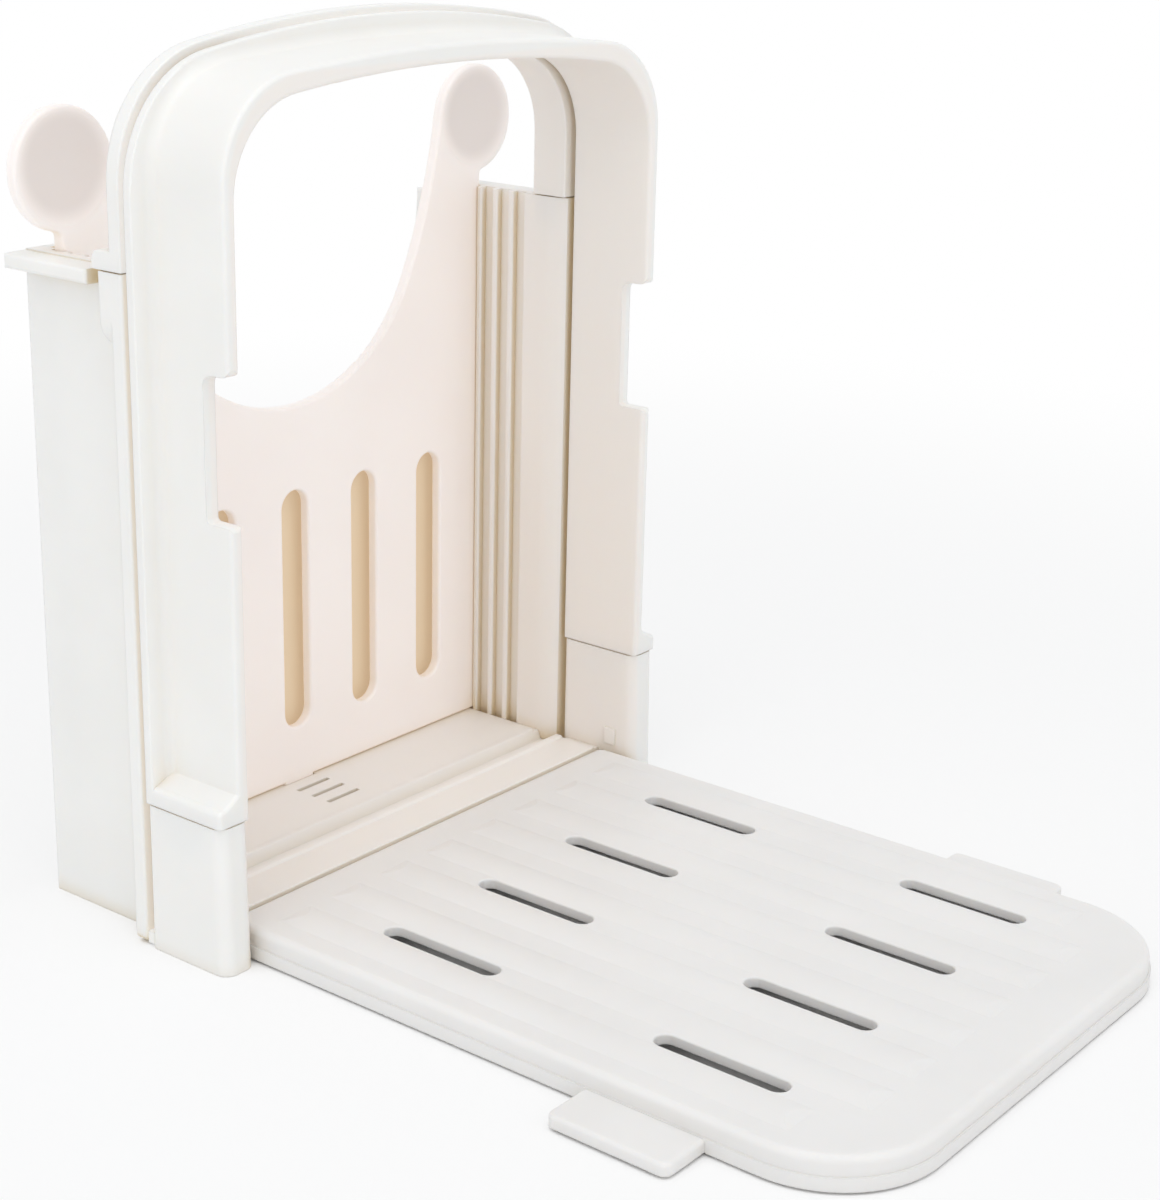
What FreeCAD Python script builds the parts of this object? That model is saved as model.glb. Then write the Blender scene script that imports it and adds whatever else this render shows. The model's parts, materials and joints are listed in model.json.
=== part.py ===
import FreeCAD
import Part
import Sketcher
import math
import os
import re
from collections import namedtuple

# Folding bread slicer guide, in millimetres.
# +X is to the right, -Y is the front (the bread board), +Y the rear (the stop plate), +Z is up.
# The origin is on the table, mid-width, at the rear face of the front arch and its feet,
# which is also the front side of the knife slot.

doc = FreeCAD.newDocument("bread_slicer_guide")

SIZES = [
    # general
    ("span", 150.0, "width over the feet and over both flanges"),
    ("knife_slot", 1.6, "slot between the two arches that guides the knife"),
    ("seam", 0.25, "shadow gap where one moulding stands on another"),
    ("plug_fit", 0.1, "clearance of a flat plug in its socket, each side"),
    ("edge_round", 0.7, "rounding of the moulded outer edges"),
    ("fine_round", 0.4, "rounding of the small edges"),
    # crowned outline shared by both flanges, and the arches inside it
    ("flange_top", 194.0, "overall height, at the middle of the flanges"),
    ("flange_corner", 27.0, "corner radius of the flanges"),
    ("flange_rise", 4.25, "rise of the flanges' crowned top between the centres of its corners"),
    ("rim_step", 5.25, "how far the front flange stands out from its web at the legs"),
    ("rim_step_front", 4.7, "how far the front flange stands out from its web at the top"),
    ("rim_step_top", 6.0, "how far the rear flange stands out from its web at the top"),
    ("leg_wall", 3.25, "wall of the front arch at its legs"),
    ("top_wall", 4.0, "wall of both arches at the top"),
    ("web_corner", 21.0, "outer corner radius of the arch webs"),
    ("web_rise", 2.49, "the same rise for the outside of the arch webs"),
    ("opening_corner", 20.0, "corner radius of the arch openings"),
    ("opening_rise", 2.86, "the same rise for the arch openings"),
    # front arch
    ("arch_depth", 22.3, "front arch and feet, front to back"),
    ("rim_thickness", 2.0, "front flange, front to back"),
    ("arch_round", 0.9, "rounding of the front edges of the front arch"),
    ("rim_blend", 2.2, "hollow blend between a web and its flange"),
    ("flare_height", 6.4, "height of the flared leg end"),
    ("flare_lip", 2.6, "straight lip at the bottom of the flared leg end"),
    ("flare_shoulder", 1.4, "rounding between the lip and the hollow of the flare"),
    ("notch_above", 0.25, "room above a folded board tab in its notch"),
    ("notch_below", 1.9, "room under a folded board tab in its notch"),
    ("notch_behind", 1.1, "room behind a folded board tab"),
    ("notch_corner", 2.4, "upper inner corner of a notch"),
    ("notch_lip", 2.0, "upper front corner of a notch"),
    ("notch_round", 1.0, "lower corners of a notch"),
    ("plug_wide", 4.6, "plug under an arch leg, across"),
    ("plug_long", 11.0, "plug under an arch leg, front to back"),
    ("plug_deep", 7.5, "plug under an arch leg, height"),
    # feet
    ("foot_height", 33.5, "height of the foot blocks"),
    ("foot_corner", 1.6, "rounding of the rear upright edges of a foot"),
    ("foot_front_corner", 3.0, "rounding of the front upright edges of a foot"),
    ("foot_draft", 0.8, "how much further forward a foot reaches at the table"),
    ("bridge_low", 0.5, "underside of the bridge that closes the knife slot"),
    ("bridge_high", 3.2, "top of the bridge that closes the knife slot"),
    ("bridge_inset", 0.5, "bridge kept in from the outer side of the foot"),
    ("detent_height", 4.4, "height of the small rib above the hinge"),
    ("detent_width", 3.4, "width of the small rib above the hinge"),
    ("detent_proud", 0.4, "how far the small rib stands in from the foot"),
    ("detent_lift", 4.4, "small rib above the hinge axis"),
    # hinge and bread board
    ("hinge_back", 15.6, "hinge axis in front of the knife slot"),
    ("pin_radius", 2.0, "hinge pin"),
    ("pin_play", 0.05, "radial play of the hinge pin in the foot"),
    ("pin_in_board", 8.0, "length of a hinge pin inside the board"),
    ("pin_in_foot", 5.6, "length of a hinge pin inside the foot"),
    ("board_side_gap", 1.0, "gap between the board and an arch leg"),
    ("foot_side_gap", 0.8, "gap between the board and a foot"),
    ("board_reach", 174.6, "front edge of the board in front of the knife slot"),
    ("board_thick", 7.0, "thickness of the board, also of its rounded rear end"),
    ("board_lift", 0.6, "underside of the board above the table"),
    ("board_corner", 24.0, "radius of the front corners"),
    ("board_step", 0.5, "upper part of the board set in from its lower part"),
    ("board_step_high", 2.9, "height of the wider lower part of the board"),
    ("board_round", 1.6, "rounding of the board's upper edge"),
    ("board_skin", 2.3, "thickness of the board's top skin"),
    ("board_rim", 2.6, "wall round the hollow underside of the board"),
    ("board_rear_rim", 6.5, "solid stretch in front of the hinge axis"),
    ("rib_thick", 1.8, "ribs under the board"),
    ("lane_pitch", 15.5, "pitch of the beads, and of the slots between them"),
    ("bead_width", 9.4, "width of a soft bead on the board"),
    ("bead_high", 0.65, "height of a bead"),
    ("bead_slope", 3.0, "slope at each end of a bead"),
    ("bead_front", 160.6, "front end of the inner beads"),
    ("bead_front_outer", 152.6, "front end of the outermost beads"),
    ("bead_rear", 22.6, "rear end of the beads"),
    ("slot_width", 5.0, "width of a slot through the board"),
    ("slot_length", 31.0, "length of a slot through the board"),
    ("slot_front", 144.7, "front end of the front slots"),
    ("slot_rear_row", 71.3, "distance from the front slots to the rear slots"),
    ("tab_front", 139.0, "front end of a side tab"),
    ("tab_length", 28.4, "length of a side tab"),
    ("tab_proud", 11.8, "how far a side tab stands out from the board"),
    ("tab_low", 0.7, "underside of a side tab above the table"),
    ("tab_thick", 2.7, "thickness of a side tab"),
    ("tab_corner", 2.0, "corner radius of a side tab"),
    ("tab_round", 0.9, "rounding of the upper edge of a side tab"),
    ("rest_pad", 4.0, "radius of the rest pads under the front corners"),
    ("rest_pad_inset", 22.0, "rest pads in from the front and the sides"),
    # sill between the feet and the housing floor
    ("sill_gap", 0.3, "gap between the sill and the rounded end of the board"),
    ("sill_rear", 8.3, "rear end of the sill behind the front arch"),
    ("sill_top", 7.6, "height of the two nosings of the sill"),
    ("sill_low", 0.0, "underside of the sill, floor and back wall"),
    ("sill_dip", 0.6, "sill surface in front of the first nosing, below it"),
    ("nosing", 1.4, "width of a nosing"),
    ("nosing_behind", 0.4, "rear side of the first nosing behind the front arch"),
    ("nosing_end", 2.1, "rear nosing kept back from the side wall"),
    ("trough_floor", 4.8, "bottom of the trough under the knife"),
    ("trough_ramp", 1.2, "slope at each side of the trough"),
    ("moulding_wall", 2.5, "wall of the hollow base mouldings"),
    ("floor_top", 7.0, "top of the housing floor"),
    ("locator_length", 10.6, "length of a locating slot in the floor"),
    ("locator_width", 1.3, "width of a locating slot in the floor"),
    ("base_rib", 1.8, "ribs under the floor"),
    # rear housing
    ("flange_thick", 3.2, "rear flange, front to back"),
    ("wall_step", 6.0, "how far the rear flange stands out from its wall"),
    ("wall_thick", 4.4, "side wall of the housing"),
    ("rear_arch_height", 48.2, "top of the side walls below the overall height"),
    ("housing_rear", 37.8, "rear face of the housing"),
    ("back_thick", 2.5, "back wall of the housing"),
    ("back_cut", 51.5, "radius of the cut-out in the back wall"),
    ("lead_in", 1.4, "side wall splayed outwards at the knife slot"),
    ("lead_long", 5.8, "length of the splayed stretch"),
    ("channel_first", 12.7, "first channel behind the front face of the flange"),
    ("channel_pitch", 5.05, "pitch of the thickness channels"),
    ("channel_width", 3.4, "width of a channel"),
    ("channel_deep", 1.8, "depth of a channel"),
    ("ridge_round", 0.5, "rounding of the ridges between the channels"),
    ("lip_thick", 3.1, "carrying lip at the top of a side wall"),
    ("lip_drop", 0.3, "top of the carrying lip below the wall top"),
    ("lip_start", 12.4, "front end of the carrying lip"),
    ("lip_round", 0.8, "rounding of the carrying lip"),
    ("boss_long", 3.5, "locating boss behind the rear flange, front to back"),
    ("boss_tall", 15.8, "locating boss behind the rear flange, height"),
    ("rear_web", 9.8, "rear arch, front to back"),
    ("heel_long", 5.6, "heel at the foot of the rear arch, front to back"),
    ("heel_tall", 3.9, "heel at the foot of the rear arch, height"),
    ("heel_corner", 2.0, "upper rear corner of the heel"),
    ("rear_plug_wide", 1.8, "plug under the rear arch, across"),
    ("rear_plug_long", 4.8, "plug under the rear arch, front to back"),
    ("rear_plug_deep", 6.0, "plug under the rear arch, height"),
    ("rear_plug_inset", 1.4, "plug in front of the rear face of the rear arch"),
    # stop plate
    ("plate_thick", 3.0, "thickness of the stop plate"),
    ("plate_round", 0.8, "rounding round the outline of the plate"),
    ("plate_side_fit", 0.3, "gap between the plate and a channel bottom"),
    ("plate_front_fit", 0.1, "gap between the plate and the front side of its channel"),
    ("plate_seat", 0.2, "gap between the plate and the floor"),
    ("key_half", 5.0, "half width of the locating key under the plate"),
    ("key_thick", 1.0, "thickness of the locating key"),
    ("key_deep", 2.4, "height of the locating key"),
    ("cut_below", 44.5, "lowest point of the cut-out in the plate, below the side walls"),
    ("cut_radius", 44.0, "radius at the bottom of the cut-out"),
    ("horn_radius", 142.0, "radius of the inner side of a horn"),
    ("ear_radius", 13.0, "radius of a finger ear"),
    ("ear_inset", 10.6, "centre of a finger ear in from the overall width"),
    ("ear_high", 16.7, "centre of a finger ear above the side walls"),
    ("ear_rim", 1.4, "flat rim round the dish of an ear"),
    ("neck_round", 1.5, "hollow between a finger ear and the side of the plate"),
    ("dish_deep", 1.4, "depth of the dish of an ear"),
    ("plate_slot_width", 8.5, "width of a slot in the plate"),
    ("plate_slot_round", 0.8, "rounding of the edges of a slot in the plate"),
    ("plate_slot_low", 21.0, "lower end of the slots"),
    ("plate_slot_high", 80.8, "upper end of the slots"),
    ("plate_slot_pitch", 23.6, "pitch of the slots"),
]

CHANNELS = 4
BOARD_LANES = 8
PLATE_SLOTS = 5

sheet = doc.addObject("Spreadsheet::Sheet", "Sizes")
for row, (alias, number, note) in enumerate(SIZES, start=1):
    sheet.set(f"A{row}", alias)
    sheet.set(f"B{row}", str(number))
    sheet.setAlias(f"B{row}", alias)
    sheet.set(f"C{row}", note)
doc.recompute()
ALIASES = {alias for alias, number, note in SIZES}

# Places that follow from the sizes, as expressions on the sheet.
HALF_SPAN = "(span / 2)"
WEB_HALF = "(span / 2 - rim_step)"
ARCH_HALF = "(span / 2 - rim_step - leg_wall)"
BOARD_HALF = f"({ARCH_HALF} - board_side_gap)"
FOOT_HALF = f"({BOARD_HALF} + foot_side_gap)"
WEB_TOP = "(flange_top - rim_step_top)"
OPENING_TOP = "(flange_top - rim_step_top - top_wall)"
LEG_BASE = "(foot_height + seam)"
WALL_HALF = "(span / 2 - wall_step)"
WALL_TOP = "(flange_top - rear_arch_height)"
ROOM_HALF = "(span / 2 - wall_step - wall_thick)"
CHANNEL_HALF = f"({ROOM_HALF} + channel_deep)"
FLANGE_REAR = "(knife_slot + flange_thick)"
REAR_BASE = f"({WALL_TOP} + seam)"
REAR_PLUG_X = f"(({ROOM_HALF} + {WALL_HALF}) / 2)"
REAR_PLUG_Y = "(knife_slot + rear_web - rear_plug_inset - rear_plug_long / 2)"
HINGE_Z = "(board_lift + board_thick / 2)"
CHANNEL_Y = "(knife_slot + channel_first)"
ROOM_REAR = "(housing_rear - back_thick)"
SILL_FRONT = "(board_thick / 2 + sill_gap - hinge_back)"
PLATE_LOW = "(floor_top + plate_seat)"

LEFT = 1
RIGHT = -1
SIDES = (("left", "-1"), ("right", "1"))


def tied(text):
    """The same expression as other objects of the document read it."""
    return re.sub(r"[a-z_]\w*", lambda word: f"Sizes.{word.group()}" if word.group() in ALIASES
                  else word.group(), text)


def size(text):
    """The value of an expression on the sheet."""
    return float(sheet.evalExpression(text))


# ---- outlines: a chain is a closed list of steps, (u, v) for a straight step and
# ---- (u, v, radius, turn) for an arc that turns LEFT or RIGHT

def negative(text):
    return f"(-1 * ({text}))"


def flipped(chain):
    """A chain seen in the mirror u -> -u."""
    steps = []
    for step in chain:
        arc = (step[2], -step[3]) if len(step) == 4 else ()
        steps.append((negative(step[0]), step[1], *arc))
    return steps


def on_side(chain, sign):
    return flipped(chain) if sign == "-1" else chain


def rectangle(u_low, u_high, v_low, v_high):
    return [(u_low, v_low), (u_high, v_low), (u_high, v_high), (u_low, v_high)]


def upright_slot(u_middle, v_low, v_high, width):
    """A slot with round ends, long in v."""
    radius = f"({width} / 2)"
    return [
        (f"{u_middle} + {radius}", f"({v_low}) + {radius}", radius, LEFT),
        (f"{u_middle} + {radius}", f"({v_high}) - {radius}"),
        (u_middle, v_high, radius, LEFT),
        (f"{u_middle} - {radius}", f"({v_high}) - {radius}", radius, LEFT),
        (f"{u_middle} - {radius}", f"({v_low}) + {radius}"),
        (u_middle, v_low, radius, LEFT),
    ]


Crown = namedtuple("Crown", "half top corner rise")
FRONT_FLANGE = Crown(HALF_SPAN, f"({WEB_TOP} + rim_step_front)", "flange_corner", "flange_rise")
FRONT_WEB = Crown(WEB_HALF, WEB_TOP, "web_corner", "web_rise")
FRONT_OPENING = Crown(ARCH_HALF, OPENING_TOP, "opening_corner", "opening_rise")
REAR_FLANGE = Crown(HALF_SPAN, "flange_top", "flange_corner", "flange_rise")
REAR_WEB = Crown(WALL_HALF, WEB_TOP, "web_corner", "web_rise")
REAR_OPENING = Crown(ROOM_HALF, OPENING_TOP, "opening_corner", "opening_rise")


def over(outline):
    """Steps over a crowned outline, from the right-hand leg to the left-hand leg.

    The corner arcs are tangent to the legs and to the large crown arc. The rise of the crown is
    taken over the centres of the corners, so it stays the same at any width.
    """
    half, top, corner, rise = outline
    crown = f"({corner} + (({half} - {corner})^2 + {rise}^2) / (2 * {rise}))"
    reach = f"sqrt(({crown} - {corner})^2 - ({half} - {corner})^2)"
    spring = f"({top} - {crown} + {reach})"
    share = f"{crown} / ({crown} - {corner})"
    meet = f"(({half} - {corner}) * {share})"
    high = f"({top} - {crown} + {reach} * {share})"
    return [
        (half, spring),
        (meet, high, corner, LEFT),
        (negative(meet), high, crown, LEFT),
        (negative(half), spring, corner, LEFT),
    ]


def band(outer, inner, base):
    """Closed outline between two crowned curves that stand on one level."""
    return ([(outer.half, base)] + over(outer)
            + [(negative(outer.half), base), (negative(inner.half), base)]
            + flipped(over(inner)) + [(inner.half, base)])


# ---- sketches and features

def arc_between(start, end, radius, turn):
    """The shorter arc from start to end that turns to the given side."""
    middle = (start + end) * 0.5
    chord = end - start
    rise = math.sqrt(max(radius**2 - chord.Length**2 / 4, 0.0))
    left = FreeCAD.Vector(-chord.y, chord.x, 0) * (1 / chord.Length)
    centre = middle + left * rise * turn
    first, last = (start, end) if turn == LEFT else (end, start)
    begin = math.atan2(first.y - centre.y, first.x - centre.x)
    finish = math.atan2(last.y - centre.y, last.x - centre.x)
    if finish < begin:
        finish += 2 * math.pi
    circle = Part.Circle(centre, FreeCAD.Vector(0, 0, 1), radius)
    return Part.ArcOfCircle(circle, begin, finish)


def draw(sketch, chain):
    """Draw a chain and tie each of its points and radii to the sheet."""
    points = [FreeCAD.Vector(size(step[0]), size(step[1]), 0) for step in chain]
    first = sketch.GeometryCount
    curves = []
    ends = []
    for index, step in enumerate(chain):
        start, end = points[index - 1], points[index]
        if len(step) == 2:
            curves.append(Part.LineSegment(start, end))
            ends.append((1, 2))
        else:
            curves.append(arc_between(start, end, size(step[2]), step[3]))
            ends.append((1, 2) if step[3] == LEFT else (2, 1))
    sketch.addGeometry(curves, False)
    joins = []
    ties = []
    for index, step in enumerate(chain):
        geometry = first + index
        following = (index + 1) % len(chain)
        here = ends[index][1]
        there = ends[following][0]
        joins.append(Sketcher.Constraint("Coincident", geometry, here, first + following, there))
        for kind, text in (("DistanceX", step[0]), ("DistanceY", step[1])):
            ties.append((Sketcher.Constraint(kind, -1, 1, geometry, here, size(text)), text))
        if len(step) == 4:
            ties.append((Sketcher.Constraint("Radius", geometry, size(step[2])), step[2]))
    sketch.addConstraint(joins)
    places = sketch.addConstraint([constraint for constraint, text in ties])
    for place, (constraint, text) in zip(places, ties):
        sketch.setExpression(f"Constraints[{place}]", tied(text))


def sketch_on(body, name, plane, offset, chains):
    """A sketch on one of the body's own origin planes, moved along the plane's normal."""
    sketch = body.newObject("Sketcher::SketchObject", name)
    support = next(item for item in body.Origin.OriginFeatures if item.Role == f"{plane}_Plane")
    sketch.AttachmentSupport = [(support, "")]
    sketch.MapMode = "FlatFace"
    sketch.setExpression("AttachmentOffset.Base.z", tied(offset))
    for chain in chains:
        draw(sketch, chain)
    return sketch


def pad(body, name, plane, chains, low, high):
    """Solid between two positions along the plane's axis. The XZ sketch plane looks along -Y."""
    start = negative(high) if plane == "XZ" else low
    feature = body.newObject("PartDesign::Pad", name)
    feature.Profile = sketch_on(body, f"{name}_outline", plane, start, chains)
    feature.setExpression("Length", tied(f"({high}) - ({low})"))
    return feature


def cut(body, name, plane, chains, low, high):
    """Hollow between two positions along the plane's axis."""
    start = negative(low) if plane == "XZ" else high
    feature = body.newObject("PartDesign::Pocket", name)
    feature.Profile = sketch_on(body, f"{name}_outline", plane, start, chains)
    feature.setExpression("Length", tied(f"({high}) - ({low})"))
    return feature


def between(x=None, y=None, z=None, slack=0.02):
    """A test for edges that lie inside the given ranges, each a pair of expressions."""
    ranges = [(axis, size(pair[0]) - slack, size(pair[1]) + slack)
              for axis, pair in (("X", x), ("Y", y), ("Z", z)) if pair]

    def inside(edge):
        box = edge.BoundBox
        return all(getattr(box, f"{axis}Min") >= low and getattr(box, f"{axis}Max") <= high
                   for axis, low, high in ranges)
    return inside


def round_edges(body, name, radius, *tests):
    """Round the edges of the body so far that pass one of the tests."""
    doc.recompute()
    base = body.Tip
    names = [f"Edge{number}" for number, edge in enumerate(base.Shape.Edges, start=1)
             if any(test(edge) for test in tests)]
    feature = body.newObject("PartDesign::Fillet", name)
    feature.Base = (base, names)
    feature.setExpression("Radius", tied(radius))
    return feature


def new_body(label):
    body = doc.addObject("PartDesign::Body", f"{label}_body")
    body.Label = label
    return body


# ---- front arch, on two foot blocks

ARCH_FRONT = "(-1 * arch_depth)"
HINGE_Y = "(-1 * hinge_back)"
TAB_NEAR = f"(tab_front - tab_length - hinge_back + {HINGE_Z})"
TAB_FAR = f"(tab_front - hinge_back + {HINGE_Z})"
TAB_FOLDED_BACK = f"({HINGE_Y} + tab_low + tab_thick - {HINGE_Z})"
PLUG_X = f"(({FOOT_HALF} + {HALF_SPAN}) / 2)"
PLUG_Y = "(-1 * arch_depth / 2)"


def box_round(middle, width):
    """Both ends of a stretch centred on a place."""
    return f"{middle} - ({width}) / 2", f"{middle} + ({width}) / 2"


def tab_notch():
    """Outline of a notch seen from the side, with its outer corners rounded into the front face."""
    low = f"({TAB_NEAR} - notch_below)"
    high = f"({TAB_FAR} + notch_above)"
    rear = f"({TAB_FOLDED_BACK} + notch_behind)"
    return [
        (ARCH_FRONT, f"{low} - notch_round"),
        (f"{ARCH_FRONT} + notch_round", low, "notch_round", RIGHT),
        (f"{rear} - notch_round", low),
        (rear, f"{low} + notch_round", "notch_round", LEFT),
        (rear, f"{high} - notch_corner"),
        (f"{rear} - notch_corner", high, "notch_corner", LEFT),
        (f"{ARCH_FRONT} + notch_lip", high),
        (ARCH_FRONT, f"{high} + notch_lip", "notch_lip", RIGHT),
        (f"{ARCH_FRONT} - 1", f"{high} + notch_lip"),
        (f"{ARCH_FRONT} - 1", f"{low} - notch_round"),
    ]


def make_front_arch():
    body = new_body("front_arch")
    pad(body, "arch_web", "XZ", [band(FRONT_WEB, FRONT_OPENING, LEG_BASE)], ARCH_FRONT, "0")
    pad(body, "arch_rim", "XZ", [band(FRONT_FLANGE, FRONT_OPENING, LEG_BASE)], "-1 * rim_thickness", "0")
    rim_front = ("-1 * rim_thickness", "-1 * rim_thickness")
    round_edges(body, "rim_hollow", "rim_blend",
                between(x=(negative(WEB_HALF), WEB_HALF), y=rim_front, z=("0", WEB_TOP)))
    round_edges(body, "rim_edge", "fine_round",
                between(y=rim_front, z=(f"{LEG_BASE} + 1", "flange_top")))
    lip_top = f"({LEG_BASE} + flare_lip)"
    shoulder = f"({HALF_SPAN} - flare_shoulder)"
    shoulder_top = f"({lip_top} + flare_shoulder)"
    flare = [
        (f"{WEB_HALF} - leg_wall / 2", LEG_BASE),
        (HALF_SPAN, LEG_BASE),
        (HALF_SPAN, lip_top),
        (shoulder, shoulder_top, "flare_shoulder", LEFT),
        (WEB_HALF, f"{LEG_BASE} + flare_height", "(2 * rim_step)", RIGHT),
        (f"{WEB_HALF} - leg_wall / 2", f"{LEG_BASE} + flare_height"),
    ]
    pad(body, "leg_flares", "XZ", [flare, flipped(flare)], ARCH_FRONT, "0")
    round_edges(body, "front_edge", "arch_round",
                between(y=(ARCH_FRONT, ARCH_FRONT), z=(f"{LEG_BASE} + fine_round", "flange_top")),
                between(y=(ARCH_FRONT, ARCH_FRONT), z=(LEG_BASE, "flange_top"),
                        x=(f"{WEB_HALF} + 1", HALF_SPAN)),
                between(y=(ARCH_FRONT, ARCH_FRONT), z=(LEG_BASE, "flange_top"),
                        x=(negative(HALF_SPAN), f"-1 * ({WEB_HALF} + 1)")))
    cut(body, "tab_notches", "YZ", [tab_notch()], negative(HALF_SPAN), HALF_SPAN)
    plug = rectangle(*box_round(PLUG_X, "plug_wide"), *box_round(PLUG_Y, "plug_long"))
    pad(body, "plugs", "XY", [plug, flipped(plug)], "foot_height - plug_deep", f"{LEG_BASE} + 1")
    return body


def foot_outline(front):
    """Outline of the right-hand foot from above, with its front at the given place."""
    return [
        (f"{HALF_SPAN} - foot_front_corner", front),
        (HALF_SPAN, f"{front} + foot_front_corner", "foot_front_corner", LEFT),
        (HALF_SPAN, "-1 * foot_corner"),
        (f"{HALF_SPAN} - foot_corner", "0", "foot_corner", LEFT),
        (f"{FOOT_HALF} + foot_corner", "0"),
        (FOOT_HALF, "-1 * foot_corner", "foot_corner", LEFT),
        (FOOT_HALF, f"{front} + foot_front_corner"),
        (f"{FOOT_HALF} + foot_front_corner", front, "foot_front_corner", LEFT),
    ]


def make_foot(side, sign):
    body = new_body(f"{side}_foot")
    outlines = []
    for name, level, front in (("sole", "0", f"{ARCH_FRONT} - foot_draft"),
                               ("head", "foot_height", ARCH_FRONT)):
        outlines.append(sketch_on(body, name, "XY", level, [on_side(foot_outline(front), sign)]))
    block = body.newObject("PartDesign::AdditiveLoft", "block")
    block.Profile = outlines[0]
    block.Sections = [outlines[1]]
    block.Ruled = True
    doc.recompute()
    body.Tip = block
    bridge = rectangle(FOOT_HALF, f"{HALF_SPAN} - bridge_inset", "-1 * foot_corner", "knife_slot")
    pad(body, "bridge", "XY", [on_side(bridge, sign)], "bridge_low", "bridge_high")
    rib_z = f"{HINGE_Z} + detent_lift"
    rib = rectangle(f"{FOOT_HALF} - detent_proud", f"{FOOT_HALF} + foot_corner",
                    *box_round(HINGE_Y, "detent_width"))
    pad(body, "detent_rib", "XY", [on_side(rib, sign)], rib_z, f"{rib_z} + detent_height")
    socket = rectangle(*box_round(PLUG_X, "plug_wide + 2 * plug_fit"),
                       *box_round(PLUG_Y, "plug_long + 2 * plug_fit"))
    cut(body, "socket", "XY", [on_side(socket, sign)], "foot_height - plug_deep", "foot_height")
    bore = body.newObject("PartDesign::SubtractiveCylinder", "pin_bore")
    bore.setExpression("Radius", tied("pin_radius + pin_play"))
    bore.setExpression("Height", tied("pin_in_foot + foot_side_gap + detent_proud"))
    lay_along_x(bore, sign, f"{FOOT_HALF} - foot_side_gap", HINGE_Y, HINGE_Z)
    return body


def lay_along_x(cylinder, sign, inner, back, high):
    """Lay a cylinder along X at the given y and z, from an inner position outwards."""
    turn = FreeCAD.Rotation(FreeCAD.Vector(0, 1, 0), 90 * int(sign))
    cylinder.Placement = FreeCAD.Placement(FreeCAD.Vector(0, 0, 0), turn)
    cylinder.setExpression("Placement.Base.x", tied(f"{sign} * ({inner})"))
    cylinder.setExpression("Placement.Base.y", tied(back))
    cylinder.setExpression("Placement.Base.z", tied(high))


def make_hinge_pin(side, sign):
    pin = doc.addObject("Part::Cylinder", f"{side}_hinge_pin_solid")
    pin.Label = f"{side}_hinge_pin"
    pin.setExpression("Radius", tied("pin_radius"))
    pin.setExpression("Height", tied("pin_in_board + foot_side_gap + pin_in_foot"))
    lay_along_x(pin, sign, f"{BOARD_HALF} - pin_in_board", HINGE_Y, HINGE_Z)
    return pin


# ---- bread board, made about its hinge axis

BOARD_TOP = "(board_thick / 2)"
BOARD_UNDER = "(-1 * board_thick / 2)"
BOARD_FRONT = "(hinge_back - board_reach)"


def board_slab(body, name, inset, low, high):
    half = f"({BOARD_HALF} - {inset})"
    reach = f"({BOARD_FRONT} + {inset})"
    corner = f"(board_corner - {inset})"
    outline = [
        (negative(half), f"{reach} + {corner}"),
        (f"{corner} - {half}", reach, corner, LEFT),
        (f"{half} - {corner}", reach),
        (half, f"{reach} + {corner}", corner, LEFT),
        (half, "0"),
        (negative(half), "0"),
    ]
    pad(body, name, "XY", [outline], low, high)


def board_hollows():
    """Outlines of the hollows between the ribs under the board."""
    rib = "rib_thick / 2"
    rim = f"({BOARD_HALF} - board_step - board_rim)"
    front = f"({BOARD_FRONT} + board_step + board_rim)"
    corner = "(board_corner - board_step - board_rim)"
    middle_front = f"{BOARD_FRONT} / 2 - {rib}"
    inner = (rib, f"2 * lane_pitch - {rib}")
    outer = (f"2 * lane_pitch + {rib}", rim)
    rear_row = (f"{BOARD_FRONT} / 2 + {rib}", "-1 * board_rear_rim")
    corner_cell = [
        (outer[0], front),
        (f"{rim} - {corner}", front),
        (rim, f"{front} + {corner}", corner, LEFT),
        (rim, middle_front),
        (outer[0], middle_front),
    ]
    cells = [corner_cell, rectangle(*inner, front, middle_front),
             rectangle(*inner, *rear_row), rectangle(*outer, *rear_row)]
    return cells + [flipped(cell) for cell in cells]


def bead_section(lane):
    """Cross-section of the bead on one lane of the board, counted from the middle."""
    low, high = box_round(f"({lane} * lane_pitch)", "bead_width")
    radius = "((bead_width^2 / 4 + bead_high^2) / (2 * bead_high))"
    return [
        (low, f"{BOARD_TOP} - board_skin / 2"),
        (high, f"{BOARD_TOP} - board_skin / 2"),
        (high, BOARD_TOP),
        (low, BOARD_TOP, radius, LEFT),
    ]


def add_beads(body):
    """Soft beads along the board, each running out in a slope at both ends."""
    rear = "(hinge_back - bead_rear)"
    outermost = (BOARD_LANES - 1) / 2
    rows = (("inner", "bead_front", [number - outermost for number in range(1, BOARD_LANES - 1)]),
            ("outer", "bead_front_outer", [-outermost, outermost]))
    edge = f"({outermost - 0.5} * lane_pitch)"
    side = f"({outermost + 0.5} * lane_pitch)"
    for name, reach, lanes in rows:
        pad(body, f"{name}_beads", "XZ", [bead_section(lane) for lane in lanes],
            f"hinge_back - {reach}", rear)
    ends = (("inner_front", "bead_front", negative(edge), edge),
            ("left_front", "bead_front_outer", negative(side), negative(edge)),
            ("right_front", "bead_front_outer", edge, side))
    peak = f"({BOARD_TOP} + 2 * bead_high)"
    for name, reach, near, far in ends:
        front = f"(hinge_back - {reach})"
        slope = [(front, BOARD_TOP), (f"{front} + 2 * bead_slope", peak), (front, peak)]
        cut(body, f"{name}_slope", "YZ", [slope], near, far)
    slope = [(rear, BOARD_TOP), (rear, peak), (f"{rear} - 2 * bead_slope", peak)]
    cut(body, "rear_slope", "YZ", [slope], negative(side), side)


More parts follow.
